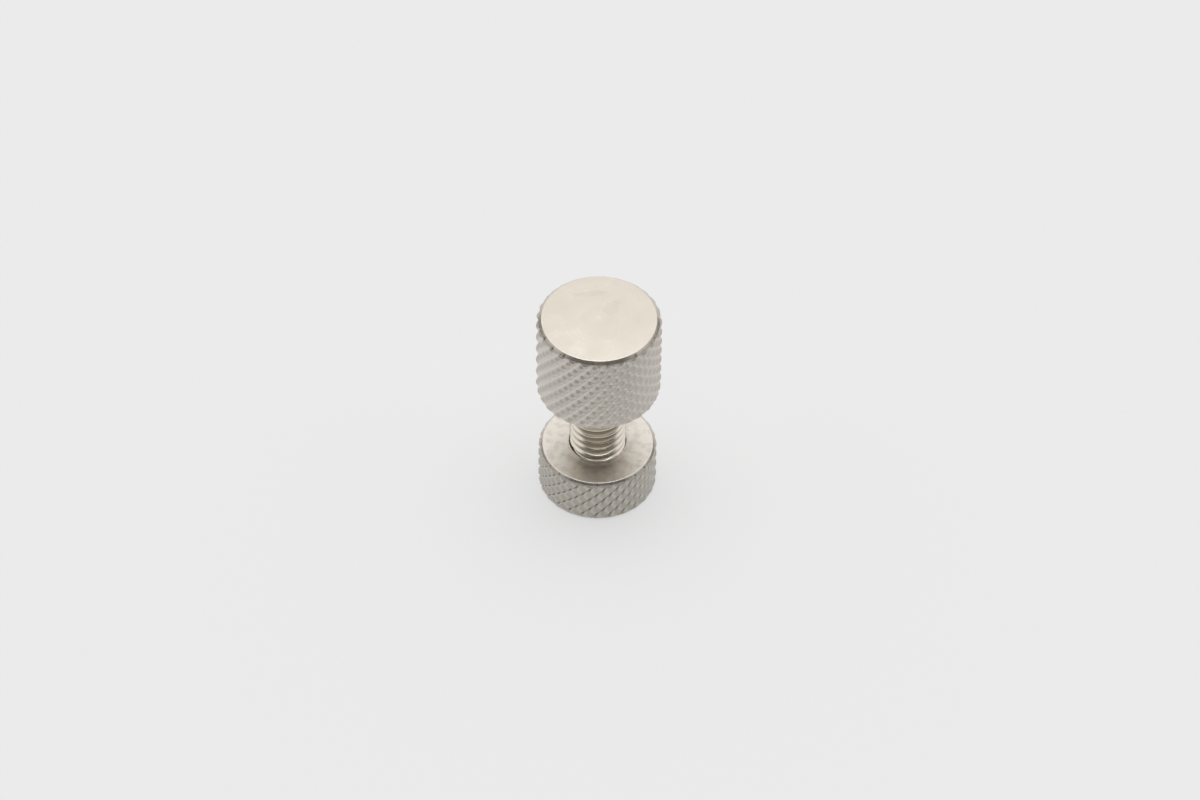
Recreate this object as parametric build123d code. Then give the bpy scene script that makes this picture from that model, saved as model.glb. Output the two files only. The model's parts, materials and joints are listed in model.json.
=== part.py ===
from build123d import *
from math import ceil, cos, floor, pi, radians, sin, sqrt, tan
import os

# Thumb screw with a thumb nut run down to the end of its shank, in millimetres.
# The origin is the centre of the nut's lower face, which the part stands on, and +Z runs up the axis to the head.

# Thread that both pieces share, right-hand, drawn as plain cylinders at its outer diameter
thread_diameter = 5.9
thread_pitch = 1.0
thread_depth_share = 0.61
running_clearance = 0.05

# Tall head of the screw
head_diameter = 13.0
head_height = 10.0
head_top_chamfer = 0.53
head_base_chamfer = 0.35

# Shank of the screw, from the head's lower face to its end inside the nut
exposed_shank = 8.9
shank_fillet = 0.3
tip_recess = 0.3

# Low nut, a little slimmer than the head all round, with a thin raised lip round the upper mouth of its hole
nut_setback = 0.28
nut_thickness = 5.4
nut_top_chamfer = 0.42
nut_base_chamfer = 0.3
nut_countersink = 0.35
lip_height = 0.3
lip_width = 0.14
lip_edge = 0.04

# Diamond knurl: two crossing families of grooves, each with its own angle from the axis.
# On the head the two angles differ, because the knurling tool stood a little askew there, and it cut deeper.
knurl_pitch = 1.06
knurl_flat_share = 0.5
head_knurl_depth = 0.25
head_rise_angle = 38.5
head_fall_angle = 50.2
nut_knurl_depth = 0.15
nut_rise_angle = 45.0
nut_fall_angle = 45.0

# Places and sizes that follow
thread_radius = thread_diameter / 2
thread_depth = thread_pitch * thread_depth_share
bore_radius = thread_radius + running_clearance
nut_diameter = head_diameter - 2 * nut_setback
head_base = nut_thickness + exposed_shank
head_top = head_base + head_height


def groove_family(diameter, angle):
    """Number of grooves round a piece and their spacing along the axis, for one angle from the axis."""
    slope = radians(angle)
    count = max(1, round(pi * diameter * cos(slope) / knurl_pitch))
    return count, pi * diameter / count / tan(slope)


def polygon(points):
    """Flat face through points in order."""
    return Face(Wire.make_polygon(points, close=True))


def turned(outline):
    """Solid turned about the axis from a closed outline drawn as (radius, height) points and curves."""
    return revolve(Plane.XZ * make_face(outline), axis=Axis.Z)


def knurled_blank(diameter, depth, rise_angle, fall_angle, low, high):
    """Knurled bar that reaches past both heights, with ragged ends to be turned off.

    Lines of the falling family are counted by `fall`, lines of the rising family by `rise`. Each cell between two
    neighbours of both families is a diamond: four sloping sides that climb from the grooves, and a flat on top.
    """
    fall_count, fall_spacing = groove_family(diameter, fall_angle)
    rise_count, rise_spacing = groove_family(diameter, rise_angle)
    cells_per_length = fall_count / rise_spacing + rise_count / fall_spacing
    root_radius = diameter / 2 - depth
    peak_radius = root_radius + depth / (1 - knurl_flat_share)
    overrun = fall_spacing + rise_spacing

    def height(fall, rise):
        return (rise_count * fall - fall_count * rise) / cells_per_length

    def spot(fall, rise, radius):
        turn = 2 * pi * (fall / rise_spacing + rise / fall_spacing) / cells_per_length
        return Vector(radius * cos(turn), radius * sin(turn), height(fall, rise))

    def one_turn(fall, rise):
        turns = floor(fall / fall_count)
        return fall - turns * fall_count, rise - turns * rise_count

    cells = []
    for fall in range(fall_count):
        mid = rise_count * (fall + 1 / 2)
        first = ceil((mid - (high + overrun) * cells_per_length) / fall_count)
        last = floor((mid - (low - overrun) * cells_per_length) / fall_count)
        cells += [(fall, rise) for rise in range(first, last)]
    kept = set(cells)

    faces = []
    for fall, rise in cells:
        corners = [(fall, rise), (fall, rise + 1), (fall + 1, rise + 1), (fall + 1, rise)]
        beyond = [(fall - 1, rise), (fall, rise + 1), (fall + 1, rise), (fall, rise - 1)]
        peak = spot(fall + 1 / 2, rise + 1 / 2, peak_radius)
        roots = [spot(*corner, root_radius) for corner in corners]
        tops = [root + (peak - root) * (1 - knurl_flat_share) for root in roots]
        faces.append(polygon([tops[1], tops[2], tops[3]]))
        faces.append(polygon([tops[3], tops[0], tops[1]]))
        for side, neighbour in enumerate(beyond):
            after = (side + 1) % len(corners)
            faces.append(polygon([roots[side], roots[after], tops[after], tops[side]]))
            if one_turn(*neighbour) not in kept:
                near_top = height(fall, rise) > (low + high) / 2
                centre = Vector(0, 0, high + overrun if near_top else low - overrun)
                faces.append(polygon([roots[after], roots[side], centre]))
    return Solid(Shell(faces))


def make_screw():
    """Tall knurled head and its shank, turned from one bar."""
    head_radius = head_diameter / 2
    head_outline = Polyline(
        (0, head_base),
        (head_radius - head_base_chamfer, head_base),
        (head_radius, head_base + head_base_chamfer),
        (head_radius, head_top - head_top_chamfer),
        (head_radius - head_top_chamfer, head_top),
        (0, head_top),
        close=True,
    )
    bar = knurled_blank(
        head_diameter, head_knurl_depth, head_rise_angle, head_fall_angle, head_base, head_top
    )
    head = bar & turned(head_outline)

    fillet_radius = thread_radius + shank_fillet
    fillet_mid = shank_fillet * (1 - 1 / sqrt(2))
    shank_top = head_base + head_height / 2
    shank_side = Polyline(
        (fillet_radius, head_base),
        (fillet_radius, shank_top),
        (0, shank_top),
        (0, tip_recess),
        (thread_radius - thread_depth, tip_recess),
        (thread_radius, tip_recess + thread_depth),
        (thread_radius, head_base - shank_fillet),
    )
    shank_curve = ThreePointArc(
        (thread_radius, head_base - shank_fillet),
        (thread_radius + fillet_mid, head_base - fillet_mid),
        (fillet_radius, head_base),
    )
    return head + turned(shank_side + shank_curve)


def make_nut():
    """Low knurled nut with its hole, lower countersink and raised lip."""
    nut_radius = nut_diameter / 2
    lip_top = nut_thickness + lip_height
    outline = Polyline(
        (bore_radius + nut_countersink, 0),
        (nut_radius - nut_base_chamfer, 0),
        (nut_radius, nut_base_chamfer),
        (nut_radius, nut_thickness - nut_top_chamfer),
        (nut_radius - nut_top_chamfer, nut_thickness),
        (bore_radius + lip_width, nut_thickness),
        (bore_radius + lip_width, lip_top),
        (bore_radius + lip_edge, lip_top),
        (bore_radius, lip_top - lip_edge),
        (bore_radius, nut_countersink),
        close=True,
    )
    bar = knurled_blank(nut_diameter, nut_knurl_depth, nut_rise_angle, nut_fall_angle, 0, lip_top)
    return bar & turned(outline)


pieces = {"thumb_screw": make_screw(), "thumb_nut": make_nut()}

os.makedirs("parts", exist_ok=True)
for name, piece in pieces.items():
    export_step(piece, f"parts/{name}.step")
    print(name, "volume", round(piece.volume, 2), "faces", len(piece.faces()))
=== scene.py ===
"""Knurled thumb screw and thumb nut in nickel plate, on a pale table in soft studio light.

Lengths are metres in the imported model's frame. The origin is the centre of the nut's lower face, and +Z
runs up the common axis to the screw's head. The camera looks along +Y and down on the part, as the
photograph does.
"""

import json
import logging
import math
from collections.abc import Sequence
from dataclasses import dataclass
from enum import Enum
from typing import Any, ClassVar

import bmesh
import bpy
from mathutils import Matrix, Vector

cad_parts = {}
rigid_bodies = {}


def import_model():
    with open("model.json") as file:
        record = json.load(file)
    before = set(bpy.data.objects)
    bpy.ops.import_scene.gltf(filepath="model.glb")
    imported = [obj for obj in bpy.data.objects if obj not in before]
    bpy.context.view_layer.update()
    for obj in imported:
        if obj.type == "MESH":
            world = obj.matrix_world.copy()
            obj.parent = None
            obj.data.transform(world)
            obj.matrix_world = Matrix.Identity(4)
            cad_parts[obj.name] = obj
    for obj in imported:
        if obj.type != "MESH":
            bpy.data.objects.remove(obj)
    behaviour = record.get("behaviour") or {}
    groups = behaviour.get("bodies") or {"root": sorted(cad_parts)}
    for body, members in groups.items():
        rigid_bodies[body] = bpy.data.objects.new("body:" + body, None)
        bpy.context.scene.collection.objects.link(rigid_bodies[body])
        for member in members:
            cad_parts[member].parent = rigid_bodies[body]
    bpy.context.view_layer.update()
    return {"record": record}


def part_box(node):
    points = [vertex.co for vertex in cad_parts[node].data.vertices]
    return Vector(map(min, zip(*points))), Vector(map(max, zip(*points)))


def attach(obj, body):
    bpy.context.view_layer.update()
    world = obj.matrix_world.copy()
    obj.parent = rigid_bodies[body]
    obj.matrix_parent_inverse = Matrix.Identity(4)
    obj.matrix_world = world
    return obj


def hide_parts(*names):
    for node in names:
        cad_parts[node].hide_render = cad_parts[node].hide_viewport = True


LOG = logging.getLogger("thumb_screw")
MM = 0.001
MICRON = 0.000001
# A height that lies beyond every piece
FAR = 1.0
FULL_TURN = 2 * math.pi
WELD_DISTANCE = 0.2 * MICRON
Colour = tuple[float, float, float]


class Reading:
    """Number read from a socket, on which Python's arithmetic adds Math nodes."""

    def __init__(self, sheet: "NodeSheet", socket: bpy.types.NodeSocket) -> None:
        """Keep the socket and the sheet that new nodes go to."""
        self.sheet = sheet
        self.socket = socket

    def __add__(self, other: "Reading | float") -> "Reading":
        """Sum."""
        return self.sheet.maths("ADD", self, other)

    def __radd__(self, other: float) -> "Reading":
        """Sum, with the number first."""
        return self.sheet.maths("ADD", other, self)

    def __sub__(self, other: "Reading | float") -> "Reading":
        """Difference."""
        return self.sheet.maths("SUBTRACT", self, other)

    def __rsub__(self, other: float) -> "Reading":
        """Difference, with the number first."""
        return self.sheet.maths("SUBTRACT", other, self)

    def __mul__(self, other: "Reading | float") -> "Reading":
        """Product."""
        return self.sheet.maths("MULTIPLY", self, other)

    def __rmul__(self, other: float) -> "Reading":
        """Product, with the number first."""
        return self.sheet.maths("MULTIPLY", other, self)

    def __truediv__(self, other: "Reading | float") -> "Reading":
        """Quotient."""
        return self.sheet.maths("DIVIDE", self, other)

    def __rtruediv__(self, other: float) -> "Reading":
        """Quotient, with the number first."""
        return self.sheet.maths("DIVIDE", other, self)

    def __mod__(self, other: "Reading | float") -> "Reading":
        """Remainder, never negative for a positive divisor."""
        return self.sheet.maths("FLOORED_MODULO", self, other)

    def __abs__(self) -> "Reading":
        """Absolute value."""
        return self.sheet.maths("ABSOLUTE", self)

    def ease(self, low: "Reading | float", high: "Reading | float") -> "Reading":
        """Smooth step.

        Args:
            low: Value at which the step is 0.
            high: Value at which the step is 1.

        Returns:
            A number that goes smoothly from 0 to 1 between the two values, and stays there outside them.
        """
        made = self.sheet.node(
            "ShaderNodeMapRange",
            {"interpolation_type": "SMOOTHSTEP"},
            {"Value": self, "From Min": low, "From Max": high},
        )
        return Reading(self.sheet, made.outputs["Result"])


class NodeSheet:
    """Node tree with one method that adds a node, for shaders and Geometry Nodes alike."""

    def __init__(self, tree: bpy.types.NodeTree) -> None:
        """Keep the tree that nodes are added to."""
        self.tree = tree

    def node(
        self,
        kind: str,
        settings: dict[str, Any] | None = None,
        sockets: dict[str | int, Any] | None = None,
    ) -> bpy.types.Node:
        """Add a node.

        Args:
            kind: Blender's name for the node's type.
            settings: Properties of the node, which are set first.
            sockets: Values or links of its input sockets, by name or by number.

        Returns:
            The new node.
        """
        made = self.tree.nodes.new(kind)
        for name, value in (settings or {}).items():
            setattr(made, name, value)
        for key, value in (sockets or {}).items():
            source = value.socket if isinstance(value, Reading) else value
            if isinstance(source, bpy.types.NodeSocket):
                self.tree.links.new(source, made.inputs[key])
            else:
                made.inputs[key].default_value = source
        return made

    def maths(self, operation: str, *values: Reading | float) -> Reading:
        """Work out a number with a Math node.

        Args:
            operation: The node's operation.
            values: One, two or three values for it.

        Returns:
            The result.
        """
        made = self.node("ShaderNodeMath", {"operation": operation}, dict(enumerate(values)))
        return Reading(self, made.outputs[0])

    def split(self, vector: bpy.types.NodeSocket) -> list[Reading]:
        """Three coordinates of a vector."""
        made = self.node("ShaderNodeSeparateXYZ", sockets={0: vector})
        return [Reading(self, output) for output in made.outputs]

    def joined(self, x: Reading | float, y: Reading | float, z: Reading | float) -> bpy.types.NodeSocket:
        """Vector with the given coordinates."""
        return self.node("ShaderNodeCombineXYZ", sockets={0: x, 1: y, 2: z}).outputs[0]


class MeshRule(NodeSheet):
    """Geometry Nodes tree with named inputs, which gives a plain mesh for a set of sizes."""

    def __init__(self, name: str) -> None:
        """Start a tree with a mesh as its output and a material as its first input.

        Args:
            name: The tree's name.
        """
        super().__init__(bpy.data.node_groups.new(name, "GeometryNodeTree"))
        self.identifiers: dict[str, str] = {}
        self.tree.interface.new_socket("Mesh", in_out="OUTPUT", socket_type="NodeSocketGeometry")
        self.entry = self.node("NodeGroupInput")
        self.finish = self.input("Finish", "NodeSocketMaterial")

    def input(self, name: str, kind: str = "NodeSocketFloat") -> Reading:
        """Add a named input.

        Args:
            name: The input's name.
            kind: Its socket type.

        Returns:
            Its value inside the tree.
        """
        socket = self.tree.interface.new_socket(name, in_out="INPUT", socket_type=kind)
        self.identifiers[name] = socket.identifier
        return Reading(self, self.entry.outputs[name])

    def end(self, mesh: bpy.types.NodeSocket) -> None:
        """Make instances real, weld the mesh, give it the finish and lead it to the output.

        Args:
            mesh: The geometry that the tree has made.
        """
        real = self.node("GeometryNodeRealizeInstances", sockets={0: mesh})
        welded = self.node(
            "GeometryNodeMergeByDistance",
            sockets={"Geometry": real.outputs[0], "Distance": WELD_DISTANCE},
        )
        dressed = self.node(
            "GeometryNodeSetMaterial",
            sockets={"Geometry": welded.outputs[0], "Material": self.finish},
        )
        self.node("NodeGroupOutput", sockets={0: dressed.outputs[0]})

    def bar(self, name: str, values: dict[str, Any]) -> bpy.types.Mesh:
        """Make a closed bar from the tree.

        Args:
            name: The mesh's name.
            values: A value for each named input.

        Returns:
            A plain mesh, with its open ends closed.
        """
        carrier = linked(name, bpy.data.meshes.new(name))
        modifier = carrier.modifiers.new(name, "NODES")
        modifier.node_group = self.tree
        for label, value in values.items():
            modifier[self.identifiers[label]] = value
        mesh = evaluated(carrier)
        carrier.modifiers.remove(modifier)
        bpy.data.objects.remove(carrier)
        close_ends(mesh)
        return mesh


class Carve(Enum):
    """Ways to combine two closed meshes."""

    KEEP_COMMON = "INTERSECT"
    ADD = "UNION"
    CUT = "DIFFERENCE"


class Detail(Enum):
    """Number of finer layers in a noise."""

    COARSE = 2.0
    MEDIUM = 3.0
    FINE = 4.0
    FINEST = 5.0


@dataclass(frozen=True)
class Corner:
    """Corner of a turned outline, with the radius that its edge is rounded to."""

    radius: float
    height: float
    rounding: float = 0.0

    def point(self) -> Vector:
        """Place of the sharp corner."""
        return Vector((self.radius, self.height))


def linked(name: str, mesh: bpy.types.Mesh) -> bpy.types.Object:
    """Put a mesh into the scene.

    Args:
        name: The object's name.
        mesh: Its mesh.

    Returns:
        The new object, at the origin.
    """
    made = bpy.data.objects.new(name, mesh)
    bpy.context.scene.collection.objects.link(made)
    return made


def evaluated(carrier: bpy.types.Object) -> bpy.types.Mesh:
    """Plain mesh of an object with its modifiers worked out."""
    graph = bpy.context.evaluated_depsgraph_get()
    return bpy.data.meshes.new_from_object(carrier.evaluated_get(graph), depsgraph=graph)


def blank_tree(owner: bpy.types.Material | bpy.types.World) -> bpy.types.NodeTree:
    """Give a material or a world an empty node tree.

    Args:
        owner: The material or the world.

    Returns:
        Its tree.
    """
    owner.use_nodes = True
    owner.node_tree.nodes.clear()
    return owner.node_tree


def close_ends(mesh: bpy.types.Mesh) -> None:
    """Close both ragged ends of an open bar with fans to its axis, and turn every face outwards.

    Args:
        mesh: The bar's mesh, which is changed in place.
    """
    bar = bmesh.new()
    bar.from_mesh(mesh)
    heights = [vertex.co.z for vertex in bar.verts]
    low, high = min(heights), max(heights)
    rim = [edge for edge in bar.edges if edge.is_boundary]
    poles = {end: bar.verts.new((0, 0, end)) for end in (low, high)}
    for edge in rim:
        end = high if edge.verts[0].co.z > (low + high) / 2 else low
        bar.faces.new((*edge.verts, poles[end]))
    bmesh.ops.recalc_face_normals(bar, faces=bar.faces)
    bar.to_mesh(mesh)
    bar.free()


def rounded(corners: Sequence[Corner], steps: int = 5) -> list[Vector]:
    """Round the corners of a turned outline.

    Args:
        corners: The outline, from the axis below to the axis above.
        steps: Number of points on each rounding.

    Returns:
        Points of the outline in the same order.
    """
    points = []
    for number, corner in enumerate(corners):
        spot = corner.point()
        if not corner.rounding:
            points.append(spot)
            continue
        back = (corners[number - 1].point() - spot).normalized()
        onward = (corners[number + 1].point() - spot).normalized()
        reach = corner.rounding / math.tan(back.angle(onward) / 2)
        for step in range(steps):
            share = step / (steps - 1)
            points.append(spot + back * reach * (1 - share) ** 2 + onward * reach * share**2)
    return points


def turned(name: str, corners: Sequence[Corner], columns: int = 256) -> bpy.types.Mesh:
    """Turn an outline about the axis.

    Args:
        name: The mesh's name.
        corners: The outline, from the axis below to the axis above.
        columns: Number of faces round the axis.

    Returns:
        A closed mesh with its faces outwards.
    """
    body = bmesh.new()
    outline = [body.verts.new((point.x, 0, point.y)) for point in rounded(corners)]
    edges = [body.edges.new(pair) for pair in zip(outline, outline[1:])]
    bmesh.ops.spin(
        body,
        geom=outline + edges,
        cent=(0, 0, 0),
        axis=(0, 0, 1),
        angle=FULL_TURN,
        steps=columns,
        use_merge=True,
    )
    bmesh.ops.remove_doubles(body, verts=body.verts, dist=WELD_DISTANCE)
    bmesh.ops.recalc_face_normals(body, faces=body.faces)
    mesh = bpy.data.meshes.new(name)
    body.to_mesh(mesh)
    body.free()
    return mesh


def carved(base: bpy.types.Mesh, tool: bpy.types.Mesh, way: Carve) -> bpy.types.Mesh:
    """Combine two closed meshes.

    Args:
        base: The mesh to work on.
        tool: The mesh to combine it with.
        way: How they are combined.

    Returns:
        The combined mesh.
    """
    work = linked(base.name, base)
    cutter = linked(tool.name, tool)
    modifier = work.modifiers.new(way.name, "BOOLEAN")
    modifier.operation = way.value
    modifier.solver = "MANIFOLD"
    modifier.object = cutter
    mesh = evaluated(work)
    work.modifiers.remove(modifier)
    for spent in (work, cutter):
        bpy.data.objects.remove(spent)
    return mesh


def finished(name: str, mesh: bpy.types.Mesh, finish: bpy.types.Material) -> bpy.types.Object:
    """Make a piece from its closed mesh.

    Args:
        name: The piece's name.
        mesh: Its mesh, in place.
        finish: Its material, which covers the faces that were carved too.

    Returns:
        The piece, smooth within its faces and crisp at its edges.
    """
    crisp_angle = math.radians(32)
    body = bmesh.new()
    body.from_mesh(mesh)
    bmesh.ops.remove_doubles(body, verts=body.verts, dist=WELD_DISTANCE)
    bmesh.ops.dissolve_degenerate(body, edges=body.edges, dist=WELD_DISTANCE)
    for face in body.faces:
        face.smooth = True
        face.material_index = 0
    for edge in body.edges:
        edge.smooth = edge.is_manifold and edge.calc_face_angle(0.0) < crisp_angle
    body.to_mesh(mesh)
    body.free()
    mesh.materials.clear()
    mesh.materials.append(finish)
    draft = linked(name, mesh)
    modifier = draft.modifiers.new("even_light", "WEIGHTED_NORMAL")
    modifier.keep_sharp = True
    mesh = evaluated(draft)
    draft.modifiers.remove(modifier)
    bpy.data.objects.remove(draft)
    mesh.name = name
    return linked(name, mesh)


def knurl_rule() -> MeshRule:
    """Rule for a diamond-knurled bar.

    Returns:
        A tree that warps one small patch onto the bar as a diamond between four grooves, and repeats it
        round and along the bar. Grooves of the falling family are counted by `fall`, of the rising family
        by `rise`.
    """
    patch_points = 9
    half = 0.5
    # Draws the patch's points towards its quarter lines, where the flanks end
    spread_share = 0.04
    labels = ("grooves", "spacing", "depth", "flank share")
    rule = MeshRule("diamond_knurl")
    crest, crossing_share = rule.input("Crest radius"), rule.input("Crossing share")
    rise_count, rise_spacing, rise_depth, rise_flank = (rule.input(f"Rising {label}") for label in labels)
    fall_count, fall_spacing, fall_depth, fall_flank = (rule.input(f"Falling {label}") for label in labels)
    low, high = rule.input("Low"), rule.input("High")
    density = fall_count / rise_spacing + rise_count / fall_spacing

    def turn(fall: Reading, rise: Reading) -> Reading:
        """Angle about the axis."""
        return FULL_TURN * (fall / rise_spacing + rise / fall_spacing) / density

    def height(fall: Reading, rise: Reading) -> Reading:
        """Height along the axis."""
        return (rise_count * fall - fall_count * rise) / density

    patch = rule.node(
        "GeometryNodeMeshGrid",
        sockets={"Size X": 1, "Size Y": 1, "Vertices X": patch_points, "Vertices Y": patch_points},
    )
    shares = []
    cuts = []
    spots = rule.split(rule.node("GeometryNodeInputPosition").outputs[0])
    for spot, depth, flank in zip(spots, (fall_depth, rise_depth), (fall_flank, rise_flank)):
        share = spot + half
        share = share + spread_share * rule.maths("SINE", share * 2 * FULL_TURN)
        climb = (half - abs(share - half)) / flank
        shares.append(share)
        cuts.append(depth * (1 - rule.maths("MINIMUM", climb, 1)))
    radius = crest - rule.maths("MAXIMUM", *cuts) - rule.maths("MINIMUM", *cuts) * crossing_share
    angle = turn(*shares)
    x, y = radius * rule.maths("COSINE", angle), radius * rule.maths("SINE", angle)
    warped = rule.node(
        "GeometryNodeSetPosition",
        sockets={"Geometry": patch.outputs["Mesh"], "Position": rule.joined(x, y, height(*shares))},
    )

    index = Reading(rule, rule.node("GeometryNodeInputIndex").outputs[0])
    rows = rule.maths("CEIL", (high - low) * density / fall_count)
    fall = index % fall_count
    first = rule.maths("CEIL", (rise_count * (fall + half) - high * density) / fall_count)
    rise = first + rule.maths("FLOOR", (index + half) / fall_count)
    points = rule.node(
        "GeometryNodePoints",
        sockets={"Count": fall_count * rows, "Position": rule.joined(0, 0, height(fall, rise))},
    )
    diamonds = rule.node(
        "GeometryNodeInstanceOnPoints",
        sockets={
            "Points": points.outputs[0],
            "Instance": warped.outputs[0],
            "Rotation": rule.joined(0, 0, turn(fall, rise)),
        },
    )
    rule.end(diamonds.outputs[0])
    return rule


def thread_rule() -> MeshRule:
    """Rule for a right-hand threaded bar.

    Returns:
        A tree that wraps a grid round the axis in line with the helix and gives its rows the thread's
        section. The thread fades out between the two fade heights, and the bar flares at 45 degrees past
        the two flare heights.
    """
    rows_per_turn = 16
    columns = 128
    half = 0.5
    # Rounds the thread's crest and root, as a share of its depth
    rounding_share = 0.12
    rule = MeshRule("screw_thread")
    outer, depth, pitch = (rule.input(name) for name in ("Outer radius", "Depth", "Pitch"))
    crest_share, flank_share, lead_share = (
        rule.input(name) for name in ("Crest share", "Flank share", "Lead share")
    )
    low, high = rule.input("Low"), rule.input("High")
    fade_low, fade_high = rule.input("Fade low"), rule.input("Fade high")
    flare_low, flare_high = rule.input("Flare low"), rule.input("Flare high")

    turns = rule.maths("CEIL", (high - low) / pitch) + 1
    grid = rule.node(
        "GeometryNodeMeshGrid",
        sockets={
            "Size X": 1,
            "Size Y": 1,
            "Vertices X": columns + 1,
            "Vertices Y": turns * rows_per_turn + 1,
        },
    )
    across, along, _ = rule.split(rule.node("GeometryNodeInputPosition").outputs[0])
    angle_share = across + half
    climb = (along + half) * turns
    start = rule.maths("FLOOR", low / pitch) - 1
    height = (start + climb + angle_share + lead_share) * pitch
    off_crest = half - abs(climb % 1 - half)
    foot = rule.maths("SMOOTH_MAX", (off_crest - crest_share) / flank_share, 0, rounding_share)
    section = rule.maths("SMOOTH_MIN", foot, 1, rounding_share)
    radius = outer - depth * section * (1 - height.ease(fade_low, fade_high))
    for flare in (flare_low - height, height - flare_high):
        radius = rule.maths("MAXIMUM", radius, outer + flare)
    angle = angle_share * FULL_TURN
    x, y = radius * rule.maths("COSINE", angle), radius * rule.maths("SINE", angle)
    wrapped = rule.node(
        "GeometryNodeSetPosition",
        sockets={"Geometry": grid.outputs["Mesh"], "Position": rule.joined(x, y, height)},
    )
    rule.end(wrapped.outputs[0])
    return rule


@dataclass(frozen=True)
class Knurl:
    """Diamond knurl: two crossing families of grooves, each with its own angle from the axis.

    Angles are in degrees, and the width of a flank is a share of the space between two grooves. Where two
    grooves cross, the shallower one deepens the other by `crossing_share` of its own depth.
    """

    rise_angle: float
    fall_angle: float
    rise_depth: float
    fall_depth: float
    rise_flank_share: float
    fall_flank_share: float
    crossing_share: float = 0.0
    pitch: float = 1.06 * MM

    def family(self, radius: float, angle: float) -> tuple[int, float]:
        """Lay out one family of grooves.

        Args:
            radius: Radius over the crests.
            angle: The grooves' angle from the axis, in degrees.

        Returns:
            The number of grooves round the bar, and their spacing along the axis.
        """
        slope = math.radians(angle)
        count = round(FULL_TURN * radius * math.cos(slope) / self.pitch)
        return count, FULL_TURN * radius / count / math.tan(slope)

    def bar(
        self,
        rule: MeshRule,
        name: str,
        finish: bpy.types.Material,
        radius: float,
        low: float,
        high: float,
    ) -> bpy.types.Mesh:
        """Make a knurled bar that reaches past two heights.

        Args:
            rule: The knurl's rule.
            name: The mesh's name.
            finish: Its material.
            radius: Radius over the crests.
            low: Lower height.
            high: Upper height.

        Returns:
            A closed mesh with ragged ends.
        """
        rise_count, rise_spacing = self.family(radius, self.rise_angle)
        fall_count, fall_spacing = self.family(radius, self.fall_angle)
        overrun = rise_spacing + fall_spacing
        values = {
            "Finish": finish,
            "Crest radius": radius,
            "Crossing share": self.crossing_share,
            "Rising grooves": float(rise_count),
            "Rising spacing": rise_spacing,
            "Rising depth": self.rise_depth,
            "Rising flank share": self.rise_flank_share,
            "Falling grooves": float(fall_count),
            "Falling spacing": fall_spacing,
            "Falling depth": self.fall_depth,
            "Falling flank share": self.fall_flank_share,
            "Low": low - overrun,
            "High": high + overrun,
        }
        return rule.bar(name, values)


@dataclass(frozen=True)
class Thread:
    """Right-hand thread of the shank and of the nut's hole.

    Half the crest's width, the width of a flank and the helix's shift along the axis are shares of the
    pitch.
    """

    outer_radius: float
    pitch: float = 1.0 * MM
    depth: float = 0.6 * MM
    crest_share: float = 0.08
    flank_share: float = 0.34
    lead_share: float = -0.46

    def bar(
        self,
        rule: MeshRule,
        name: str,
        finish: bpy.types.Material,
        low: float,
        high: float,
        fade: tuple[float, float] = (FAR, 2 * FAR),
        flare: tuple[float, float] = (-FAR, FAR),
    ) -> bpy.types.Mesh:
        """Make a threaded bar that reaches past two heights.

        Args:
            rule: The thread's rule.
            name: The mesh's name.
            finish: Its material.
            low: Lower height.
            high: Upper height.
            fade: Heights between which the thread runs out.
            flare: Heights below and above which the bar widens.

        Returns:
            A closed mesh with stepped ends.
        """
        values = {
            "Finish": finish,
            "Outer radius": self.outer_radius,
            "Depth": self.depth,
            "Pitch": self.pitch,
            "Crest share": self.crest_share,
            "Flank share": self.flank_share,
            "Lead share": self.lead_share,
            "Low": low,
            "High": high,
            "Fade low": fade[0],
            "Fade high": fade[1],
            "Flare low": flare[0],
            "Flare high": flare[1],
        }
        return rule.bar(name, values)


class PlateSheet(NodeSheet):
    """Shader tree of a turned piece, which reads the place on the piece in millimetres."""

    # How upright the normal is where a wall ends and where a level face begins
    face_edges: ClassVar[tuple[float, float]] = (0.9, 0.98)

    def __init__(self, tree: bpy.types.NodeTree) -> None:
        """Read the place, its radius and angle about the axis, and whether it lies on a level face.

        Args:
            tree: The material's empty tree.
        """
        super().__init__(tree)
        place = self.node("ShaderNodeTexCoord").outputs["Object"]
        scaled = self.node("ShaderNodeVectorMath", {"operation": "SCALE"}, {0: place, "Scale": 1 / MM})
        self.place = scaled.outputs[0]
        self.x, self.y, self.height = self.split(self.place)
        self.radius = self.maths("SQRT", self.x * self.x + self.y * self.y)
        self.angle = self.maths("ARCTAN2", self.y, self.x)
        normal = self.split(self.node("ShaderNodeNewGeometry").outputs["Normal"])
        self.face = abs(normal[2]).ease(*self.face_edges)

    def noise(self, place: bpy.types.NodeSocket, scale: float, detail: Detail) -> Reading:
        """Add a noise.

        Args:
            place: Where it is read.
            scale: Number of features for each unit of the place.
            detail: How finely it breaks up.

        Returns:
            A number between about -0.5 and 0.5.
        """
        middle = 0.5
        made = self.node(
            "ShaderNodeTexNoise",
            {"noise_dimensions": "3D"},
            {"Vector": place, "Scale": scale, "Detail": detail.value},
        )
        return Reading(self, made.outputs[0]) - middle

    def mixed(self, factor: Reading, *colours: Colour | bpy.types.NodeSocket) -> bpy.types.NodeSocket:
        """Mix two colours.

        Args:
            factor: 0 for the first colour, 1 for the second.
            colours: The two colours, each plain or from another node.

        Returns:
            The colour between them.
        """
        first, second = ((*colour, 1) if isinstance(colour, tuple) else colour for colour in colours)
        made = self.node("ShaderNodeMix", {"data_type": "RGBA"}, {0: factor, 6: first, 7: second})
        return made.outputs[2]


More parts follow.
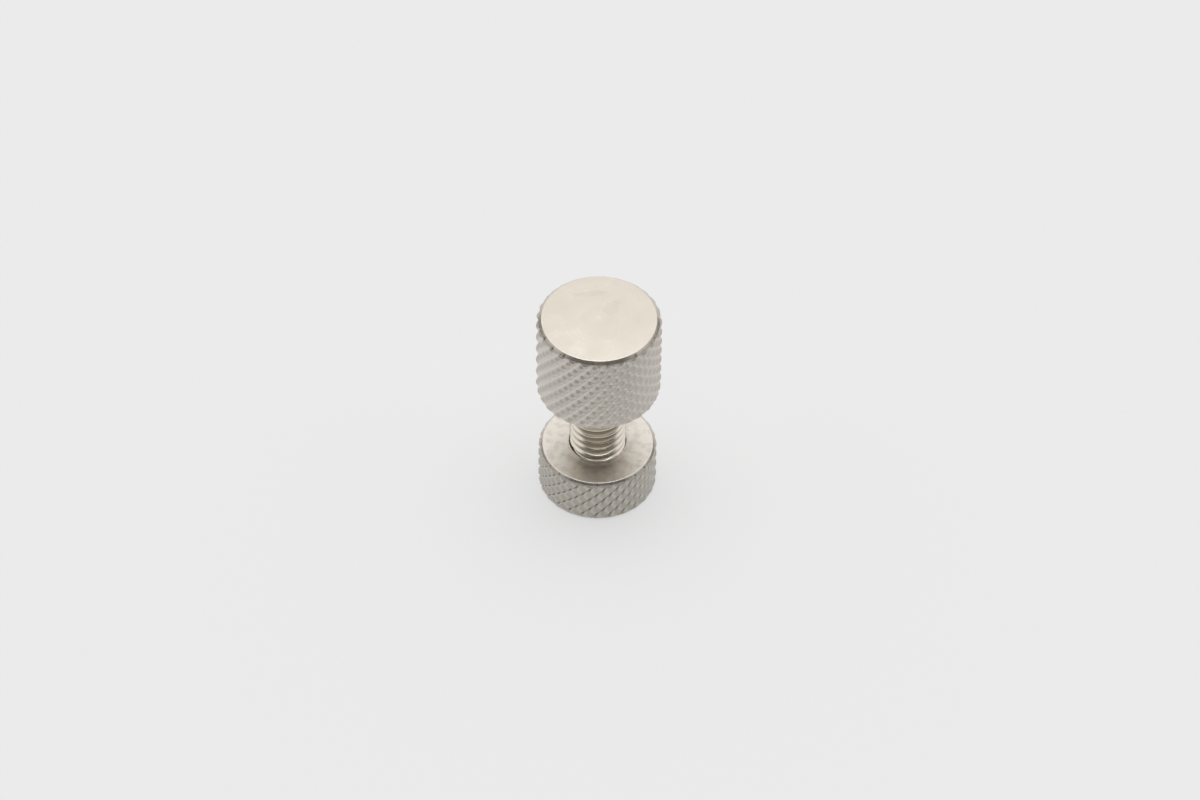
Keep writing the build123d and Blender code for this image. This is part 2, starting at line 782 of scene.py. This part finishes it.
@dataclass(frozen=True)
class GrooveZone:
    """Band of a piece with grooves, whose crests may be dull and whose depths are painted darker as shade.

    The painted shade sets in at one share of the depth and is full a second share further down. A crest
    turns into a flank between the two `crest_shares` of the depth; on a knurl the crests are dull and
    darker, and the flanks lighter as a painted sheen. The band's ends fade over the height `fade`.
    """

    crest_radius: float
    depth: float
    low: float
    high: float
    painted_shade_share: float = 0.0
    shade_start_share: float = 1.0
    shade_ramp_share: float = 0.3
    dull_and_sheen_share: float = 0.0
    crest_shares: tuple[float, float] = (0.1, 0.8)
    added_roughness: float = 0.0
    fade: float = 0.05 * MM

    def wall(self, sheet: PlateSheet) -> Reading:
        """Mark the band.

        Args:
            sheet: The material's sheet.

        Returns:
            1 on the band's walls and 0 elsewhere.
        """
        low, high, fade = self.low / MM, self.high / MM, self.fade / MM
        band = sheet.height.ease(low - fade, low) * (1 - sheet.height.ease(high, high + fade))
        return band * (1 - sheet.face)

    def depth_share(self, sheet: PlateSheet) -> Reading:
        """Depth below the crests, as a share of the grooves' depth."""
        return (self.crest_radius / MM - sheet.radius) / (self.depth / MM)


@dataclass(frozen=True)
class Smudge:
    """Faint dull patch on a turned face, as a finger or a cloth leaves it.

    It fades between the two `outline_shares` of its size. The scale of its ragged outline is in features for
    each millimetre.
    """

    x: float
    y: float
    height: float
    length: float
    width: float
    turn: float
    strength_share: float
    level_edges: tuple[float, float] = (0.05 * MM, 0.1 * MM)
    outline_shares: tuple[float, float] = (0.5, 1.2)
    ragged_scale: float = 1.7
    ragged_share: float = 1.6

    def patch(self, sheet: PlateSheet) -> Reading:
        """Mark the patch.

        Args:
            sheet: The material's sheet.

        Returns:
            The patch's strength on it and 0 elsewhere.
        """
        east, north = sheet.x - self.x / MM, sheet.y - self.y / MM
        cosine, sine = math.cos(self.turn), math.sin(self.turn)
        along = (east * cosine + north * sine) / (self.length / MM / 2)
        across = (north * cosine - east * sine) / (self.width / MM / 2)
        ragged = sheet.noise(sheet.place, self.ragged_scale, Detail.MEDIUM) * self.ragged_share
        inside = 1 - (along * along + across * across + ragged).ease(*self.outline_shares)
        off_level = abs(sheet.height - self.height / MM)
        level = 1 - off_level.ease(*(edge / MM for edge in self.level_edges))
        return inside * level * self.strength_share


@dataclass(frozen=True)
class NickelPlate:
    """Nickel plate over turned brass, a little warm, with turning marks on its flat faces.

    Scales are features for each millimetre. The marks' feed and waver are in millimetres, the heights of
    marks, rings and grain in microns.
    """

    colour: Colour = (0.66, 0.61, 0.53)
    bright_colour: Colour = (0.70, 0.65, 0.575)
    # Knurl flanks are painted lighter than the crests: a painted sheen, as flanks that face up show under
    # light from above; the darker crests are also dull
    flank_sheen_colour: Colour = (0.68, 0.65, 0.60)
    crest_colour: Colour = (0.555, 0.507, 0.452)
    # Colour of the painted shade in the groove depths
    groove_shade_colour: Colour = (0.40, 0.355, 0.29)
    roughness: float = 0.25
    face_roughness: float = 0.0
    blotch_roughness: float = 0.14
    ring_roughness: float = 0.07
    groove_roughness: float = 0.12
    bright_share: float = 0.35
    blotch_share: float = 0.7
    cloud_share: float = 0.6
    ring_share: float = 0.5
    groove_shade_share: float = 0.75
    smudge_share: float = 0.4
    mottle_share: float = 0.0
    mottle_edges: tuple[float, float] = (-0.08, 0.17)
    blotch_scale: float = 0.55
    cloud_scale: float = 0.16
    mottle_scale: float = 1.6
    grain_scale: float = 14.0
    ring_scale: float = 9.0
    ring_turn_scale: float = 0.35
    mark_feed: float = 0.11
    mark_waver: float = 0.05
    mark_height: float = 0.5
    ring_height: float = 1.0
    grain_height: float = 0.1

    def material(
        self, name: str, zones: Sequence[GrooveZone], smudges: Sequence[Smudge] = ()
    ) -> bpy.types.Material:
        """Make the material of one piece.

        Args:
            name: The material's name.
            zones: The piece's grooved bands.
            smudges: Dull patches on its faces.

        Returns:
            A metal whose colour, roughness and relief vary with the place on the piece.
        """
        material = bpy.data.materials.new(name)
        sheet = PlateSheet(blank_tree(material))
        place, radius, face = sheet.place, sheet.radius, sheet.face

        groove = knurl = crest = zone_roughness = smudged = 0.0
        for zone in zones:
            wall, depth = zone.wall(sheet), zone.depth_share(sheet)
            shade_full_share = zone.shade_start_share + zone.shade_ramp_share
            # Painted shade: the colour darkens in the grooves' depth, as shade falls there
            groove = depth.ease(zone.shade_start_share, shade_full_share) * wall * zone.painted_shade_share + groove
            knurl = wall * zone.dull_and_sheen_share + knurl
            crest = (1 - depth.ease(*zone.crest_shares)) * wall * zone.dull_and_sheen_share + crest
            zone_roughness = wall * zone.added_roughness + zone_roughness
        for smudge in smudges:
            smudged = smudge.patch(sheet) + smudged

        blotch = sheet.noise(place, self.blotch_scale, Detail.FINE)
        cloud = sheet.noise(place, self.cloud_scale, Detail.COARSE)
        grain = sheet.noise(place, self.grain_scale, Detail.COARSE)
        mottle = sheet.noise(place, self.mottle_scale, Detail.FINEST)
        ring_place = sheet.joined(
            radius * self.ring_scale, sheet.angle * self.ring_turn_scale, sheet.height
        )
        rings = sheet.noise(ring_place, scale=1.0, detail=Detail.FINE)

        tone = blotch * self.blotch_share + cloud * self.cloud_share + rings * face * self.ring_share
        plate = sheet.mixed((tone + self.bright_share).ease(0.0, 1.0), self.colour, self.bright_colour)
        # Painted sheen: knurl flanks take the lighter flank colour, and the dull crests the darker crest
        # colour
        dull_crest_and_sheen = sheet.mixed(crest, self.flank_sheen_colour, self.crest_colour)
        dulled_and_sheened = sheet.mixed(knurl, plate, dull_crest_and_sheen)
        worn = mottle.ease(*self.mottle_edges) * face * self.mottle_share
        # The painted shade in the grooves, the real smudges and the real wear darken the colour together
        shade_and_marks = groove * self.groove_shade_share + smudged * self.smudge_share + worn
        shaded_and_marked = sheet.mixed(shade_and_marks, dulled_and_sheened, self.groove_shade_colour)

        roughness = (
            self.roughness
            + face * self.face_roughness
            + blotch * self.blotch_roughness
            + rings * face * self.ring_roughness
            + (groove + smudged + worn) * self.groove_roughness
            + zone_roughness
        )
        marks = sheet.maths("SINE", (radius + rings * self.mark_waver) * (FULL_TURN / self.mark_feed))
        relief = (marks * self.mark_height + rings * self.ring_height) * face + grain * self.grain_height
        bump = sheet.node(
            "ShaderNodeBump", sockets={"Strength": 1.0, "Distance": MICRON, "Height": relief}
        )
        shader = sheet.node(
            "ShaderNodeBsdfPrincipled",
            sockets={
                "Base Color": shaded_and_marked,
                "Metallic": 1.0,
                "Roughness": roughness,
                "Normal": bump.outputs[0],
            },
        )
        sheet.node("ShaderNodeOutputMaterial", sockets={"Surface": shader.outputs[0]})
        return material


@dataclass(frozen=True)
class ThumbScrew:
    """Tall knurled head and its threaded shank, turned from one bar."""

    head_radius: float
    head_base: float
    head_top: float
    thread: Thread
    tip: float
    knurl: Knurl = Knurl(
        rise_angle=38.5,
        fall_angle=50.2,
        rise_depth=0.24 * MM,
        fall_depth=0.18 * MM,
        rise_flank_share=0.4,
        fall_flank_share=0.34,
    )
    top_chamfer: float = 0.53 * MM
    base_chamfer: float = 0.35 * MM
    fillet: float = 0.3 * MM
    edge: float = 0.06 * MM
    shoulder: float = 0.2 * MM
    centre_mark_radius: float = 0.25 * MM
    centre_mark_depth: float = 0.015 * MM
    run_out: float = 0.25 * MM
    overlap: float = 0.2 * MM
    plate: NickelPlate = NickelPlate()

    def head(self, knurls: MeshRule, finish: bpy.types.Material) -> bpy.types.Mesh:
        """Make the knurled head, with the fillet that leads to its shank.

        Args:
            knurls: The knurl's rule.
            finish: The screw's material.

        Returns:
            A closed mesh.
        """
        root = self.thread.outer_radius
        corners = [
            Corner(0, self.head_base - self.fillet - self.overlap),
            Corner(root - self.edge, self.head_base - self.fillet - self.overlap),
            Corner(root - self.edge, self.head_base, self.fillet),
            Corner(self.head_radius - self.base_chamfer, self.head_base, self.edge),
            Corner(self.head_radius, self.head_base + self.base_chamfer, self.edge),
            Corner(self.head_radius, self.head_top - self.top_chamfer, self.shoulder),
            Corner(self.head_radius - self.top_chamfer, self.head_top, self.edge),
            Corner(self.centre_mark_radius, self.head_top, self.edge / 2),
            Corner(0, self.head_top - self.centre_mark_depth),
        ]
        bar = self.knurl.bar(knurls, "head_bar", finish, self.head_radius, self.head_base, self.head_top)
        return carved(bar, turned("head_outline", corners), Carve.KEEP_COMMON)

    def shank(self, threads: MeshRule, finish: bpy.types.Material) -> bpy.types.Mesh:
        """Make the threaded shank, which reaches a little way into the head.

        Args:
            threads: The thread's rule.
            finish: The screw's material.

        Returns:
            A closed mesh.
        """
        outer = self.thread.outer_radius
        top = self.head_base + self.overlap
        corners = [
            Corner(0, self.tip),
            Corner(outer - self.thread.depth, self.tip, self.edge),
            Corner(outer + self.edge, self.tip + self.thread.depth + self.edge),
            Corner(outer + self.edge, top),
            Corner(0, top),
        ]
        thread_top = self.head_base - self.fillet
        bar = self.thread.bar(
            threads,
            "shank_bar",
            finish,
            self.tip - self.thread.pitch,
            top,
            fade=(thread_top - self.run_out, thread_top),
        )
        return carved(bar, turned("shank_outline", corners), Carve.KEEP_COMMON)

    def zones(self) -> list[GrooveZone]:
        """List the bands that have a finish of their own.

        Returns:
            The head's dull knurl with painted sheen on its flanks, the foot of its chamfer, and the thread
            with painted shade in its depth.
        """
        knurl_top = self.head_top - self.top_chamfer
        knurl = GrooveZone(
            crest_radius=self.head_radius,
            depth=self.knurl.rise_depth,
            low=self.head_base,
            high=knurl_top,
            # Dull crests, with painted sheen on the flanks below them
            dull_and_sheen_share=1.0,
            added_roughness=0.08,
        )
        chamfer_foot = GrooveZone(
            crest_radius=self.head_radius,
            depth=self.top_chamfer,
            low=knurl_top,
            high=knurl_top + self.shoulder,
            added_roughness=0.18,
        )
        thread = GrooveZone(
            crest_radius=self.thread.outer_radius,
            depth=self.thread.depth,
            low=self.tip,
            high=self.head_base - self.fillet,
            # Painted shade darkens the thread's roots
            painted_shade_share=1.0,
            shade_start_share=0.25,
            added_roughness=-0.11,
        )
        return [knurl, chamfer_foot, thread]

    def smudges(self) -> list[Smudge]:
        """List the dull patches.

        Returns:
            A round one near the middle of the head's top, and a long one near its back.
        """
        finger_mark = Smudge(
            x=1.3 * MM,
            y=1.5 * MM,
            height=self.head_top,
            length=2.4 * MM,
            width=1.6 * MM,
            turn=math.radians(70),
            strength_share=0.7,
        )
        wipe_mark = Smudge(
            x=-0.9 * MM,
            y=3.5 * MM,
            height=self.head_top,
            length=3.6 * MM,
            width=0.7 * MM,
            turn=math.radians(6),
            strength_share=0.55,
        )
        return [finger_mark, wipe_mark]

    def build(self, knurls: MeshRule, threads: MeshRule) -> bpy.types.Object:
        """Build and dress the screw.

        Args:
            knurls: The knurl's rule.
            threads: The thread's rule.

        Returns:
            The finished piece.
        """
        finish = self.plate.material("screw_nickel_plate", self.zones(), self.smudges())
        mesh = carved(self.head(knurls, finish), self.shank(threads, finish), Carve.ADD)
        return finished("knurled_screw", mesh, finish)


@dataclass(frozen=True)
class ThumbNut:
    """Low knurled nut with a threaded hole and a small raised lip round its upper mouth."""

    radius: float
    face: float
    lip_top: float
    thread: Thread
    knurl: Knurl = Knurl(
        rise_angle=45.0,
        fall_angle=45.0,
        rise_depth=0.15 * MM,
        fall_depth=0.11 * MM,
        rise_flank_share=0.24,
        fall_flank_share=0.42,
        crossing_share=0.55,
    )
    top_chamfer: float = 0.42 * MM
    base_chamfer: float = 0.3 * MM
    countersink: float = 0.35 * MM
    lip_width: float = 0.14 * MM
    lip_edge: float = 0.04 * MM
    edge: float = 0.06 * MM
    rim: float = 0.13 * MM
    shoulder: float = 0.3 * MM
    running_clearance: float = 0.05 * MM
    thread_engagement_share: float = 0.88
    plate: NickelPlate = NickelPlate(
        colour=(0.655, 0.612, 0.552),
        bright_colour=(0.70, 0.653, 0.592),
        # Painted sheen: the flank colour is lighter than the dull crests' colour
        flank_sheen_colour=(0.57, 0.548, 0.497),
        crest_colour=(0.455, 0.43, 0.382),
        # Colour of the painted shade in the knurl's deepest spots
        groove_shade_colour=(0.30, 0.272, 0.23),
        roughness=0.26,
        face_roughness=0.14,
        mottle_share=0.28,
    )

    @property
    def bore(self) -> float:
        """Radius of the hole over the thread's crests."""
        return self.thread.outer_radius + self.running_clearance

    def blank(self, knurls: MeshRule, finish: bpy.types.Material) -> bpy.types.Mesh:
        """Make the knurled disc with its lip, before the hole is cut.

        Args:
            knurls: The knurl's rule.
            finish: The nut's material.

        Returns:
            A closed mesh.
        """
        lip = self.bore + self.lip_width
        corners = [
            Corner(0, 0),
            Corner(self.radius - self.base_chamfer, 0, self.edge),
            Corner(self.radius, self.base_chamfer, self.edge),
            Corner(self.radius, self.face - self.top_chamfer, self.shoulder),
            Corner(self.radius - self.top_chamfer, self.face, self.rim),
            Corner(lip, self.face),
            Corner(lip, self.lip_top, self.edge),
            Corner(0, self.lip_top),
        ]
        bar = self.knurl.bar(knurls, "nut_bar", finish, self.radius, 0, self.lip_top)
        return carved(bar, turned("nut_outline", corners), Carve.KEEP_COMMON)

    def tap(self, threads: MeshRule, finish: bpy.types.Material) -> bpy.types.Mesh:
        """Make the tap that cuts the threaded hole, with its two countersinks.

        Args:
            threads: The thread's rule.
            finish: The nut's material.

        Returns:
            A closed mesh.
        """
        thread = Thread(
            outer_radius=self.bore,
            pitch=self.thread.pitch,
            depth=self.thread.depth * self.thread_engagement_share,
        )
        return thread.bar(
            threads,
            "nut_tap",
            finish,
            -self.thread.pitch,
            self.lip_top + self.thread.pitch,
            flare=(self.countersink, self.lip_top - self.lip_edge),
        )

    def zones(self) -> list[GrooveZone]:
        """List the bands that have a finish of their own.

        Returns:
            The dull knurl with painted sheen on its flanks and painted shade where its grooves cross, and
            the foot of the chamfer above it.
        """
        knurl_top = self.face - self.top_chamfer
        knurl = GrooveZone(
            crest_radius=self.radius,
            depth=self.knurl.rise_depth,
            low=0,
            high=knurl_top,
            # Painted shade darkens only the deepest spots, where the grooves cross
            painted_shade_share=1.25,
            shade_start_share=0.88,
            # Dull crests, with painted sheen on the flanks below them
            dull_and_sheen_share=1.0,
            added_roughness=0.08,
        )
        chamfer_foot = GrooveZone(
            crest_radius=self.radius,
            depth=self.top_chamfer,
            low=knurl_top,
            high=self.face - 2 * self.rim,
            added_roughness=0.34,
        )
        return [knurl, chamfer_foot]

    def build(self, knurls: MeshRule, threads: MeshRule) -> bpy.types.Object:
        """Build and dress the nut.

        Args:
            knurls: The knurl's rule.
            threads: The thread's rule.

        Returns:
            The finished piece.
        """
        finish = self.plate.material("nut_nickel_plate", self.zones())
        mesh = carved(self.blank(knurls, finish), self.tap(threads, finish), Carve.CUT)
        return finished("knurled_nut", mesh, finish)


@dataclass(frozen=True)
class Studio:
    """Pale table, soft light all round but for the camera's side, and the camera.

    Each pair of edges holds the heights of a direction, from -1 to 1, between which a light sets in. The sky
    leans to the back, and the dim part is centred on the camera.
    """

    table_size: float = 4.0
    table_front: float = -160 * MM
    table_colour: Colour = (0.797, 0.794, 0.794)
    table_glow_share: float = 0.7
    backdrop_colour: Colour = (0.797, 0.794, 0.794)
    sky_light: float = 1.08
    horizon_light: float = 0.13
    ceiling_light: float = 2.3
    sky_lean: float = 0.35
    sky_edges: tuple[float, float] = (0.32, 0.56)
    ceiling_edges: tuple[float, float] = (0.85, 0.91)
    dim_edges: tuple[float, float] = (0.55, 0.85)
    elevation: float = math.radians(47.6)
    roll: float = 0.0125
    distance: float = 605 * MM
    target: tuple[float, float, float] = (0.19 * MM, 0.0, 11.9 * MM)
    lens: float = 174.0
    sensor: float = 36.0
    clip_share: float = 0.01

    def table(self) -> bpy.types.Object:
        """Lay the table top under the part.

        Returns:
            The table, whose top partly glows, so that it stays pale in the picture and in mirrors.
        """
        half = self.table_size / 2
        front = self.table_front
        corners = [(-half, front, 0), (half, front, 0), (half, half, 0), (-half, half, 0)]
        mesh = bpy.data.meshes.new("table")
        mesh.from_pydata(corners, [], [(0, 1, 2, 3)])
        material = bpy.data.materials.new("table_white")
        sheet = NodeSheet(blank_tree(material))
        path = sheet.node("ShaderNodeLightPath")
        camera, glossy, through = (
            Reading(sheet, path.outputs[f"Is {kind} Ray"]) for kind in ("Camera", "Glossy", "Transmission")
        )
        seen = sheet.maths("MINIMUM", camera + glossy + through, 1)
        white = (*self.table_colour, 1)
        lit = sheet.node("ShaderNodeBsdfDiffuse", sockets={"Color": white})
        glow = sheet.node("ShaderNodeEmission", sockets={"Color": white, "Strength": 1.0})
        shader = sheet.node(
            "ShaderNodeMixShader",
            sockets={0: seen * self.table_glow_share, 1: lit.outputs[0], 2: glow.outputs[0]},
        )
        sheet.node("ShaderNodeOutputMaterial", sockets={"Surface": shader.outputs[0]})
        mesh.materials.append(material)
        return linked("table", mesh)

    def light(self) -> None:
        """Light the scene from a bright room that is dim at the horizon and towards the camera."""
        world = bpy.data.worlds.new("soft_room")
        bpy.context.scene.world = world
        sheet = NodeSheet(blank_tree(world))
        _, back, up = sheet.split(sheet.node("ShaderNodeTexCoord").outputs["Generated"])
        dim = (up * math.sin(self.elevation) - back * math.cos(self.elevation)).ease(*self.dim_edges)
        sky = (up + back * self.sky_lean).ease(*self.sky_edges) * (1 - dim)
        ceiling = up.ease(*self.ceiling_edges)
        strength = (
            self.horizon_light + sky * (self.sky_light - self.horizon_light) + ceiling * self.ceiling_light
        )
        room = sheet.node("ShaderNodeBackground", sockets={"Color": (1, 1, 1, 1), "Strength": strength})
        backdrop = sheet.node(
            "ShaderNodeBackground", sockets={"Color": (*self.backdrop_colour, 1), "Strength": 1.0}
        )
        seen = sheet.node("ShaderNodeLightPath").outputs["Is Camera Ray"]
        chosen = sheet.node(
            "ShaderNodeMixShader", sockets={0: seen, 1: room.outputs[0], 2: backdrop.outputs[0]}
        )
        sheet.node("ShaderNodeOutputWorld", sockets={"Surface": chosen.outputs[0]})

    def camera(self) -> None:
        """Put the camera where the photograph was taken from."""
        forward = Vector((0, math.cos(self.elevation), -math.sin(self.elevation)))
        level = Vector((1, 0, 0))
        upright = level.cross(forward)
        up = upright * math.cos(self.roll) - level * math.sin(self.roll)
        right = level * math.cos(self.roll) + upright * math.sin(self.roll)
        place = Vector(self.target) - forward * self.distance
        data = bpy.data.cameras.new("camera")
        data.lens = self.lens
        data.sensor_width = self.sensor
        data.clip_start = self.distance * self.clip_share
        data.clip_end = self.distance / self.clip_share
        made = bpy.data.objects.new("camera", data)
        turn = Matrix((right, up, -forward)).transposed()
        made.matrix_world = Matrix.Translation(place) @ turn.to_4x4()
        bpy.context.scene.collection.objects.link(made)
        bpy.context.scene.camera = made


def main() -> None:
    """Build the screw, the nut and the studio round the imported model."""
    logging.basicConfig(level=logging.INFO, format="%(name)s: %(message)s")
    for spare in list(bpy.data.objects):
        bpy.data.objects.remove(spare)
    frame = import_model()
    bpy.context.scene.view_settings.view_transform = "Standard"

    mounts = {mount["name"]: mount for mount in frame["record"]["mounts"]}
    screw_low, screw_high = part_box("thumb_screw")
    _, nut_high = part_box("thumb_nut")
    thread = Thread(mounts["shank_thread"]["dims"]["r_mm"] * MM)
    screw = ThumbScrew(
        head_radius=screw_high.x,
        head_base=mounts["head_seat"]["pos_m"][2],
        head_top=screw_high.z,
        thread=thread,
        tip=screw_low.z,
    )
    nut = ThumbNut(
        radius=nut_high.x,
        face=mounts["nut_seat"]["pos_m"][2],
        lip_top=nut_high.z,
        thread=thread,
    )

    knurls, threads = knurl_rule(), thread_rule()
    for maker, node, body, slot in (
        (screw, "thumb_screw", "screw", "screw_nickel"),
        (nut, "thumb_nut", "nut", "nut_nickel"),
    ):
        piece = maker.build(knurls, threads)
        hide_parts(node)
        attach(piece, body)
        LOG.info("%s: %d faces on body %s", piece.name, len(piece.data.polygons), body)

    studio = Studio()
    studio.table()
    studio.light()
    studio.camera()


if __name__ == "__main__":
    main()
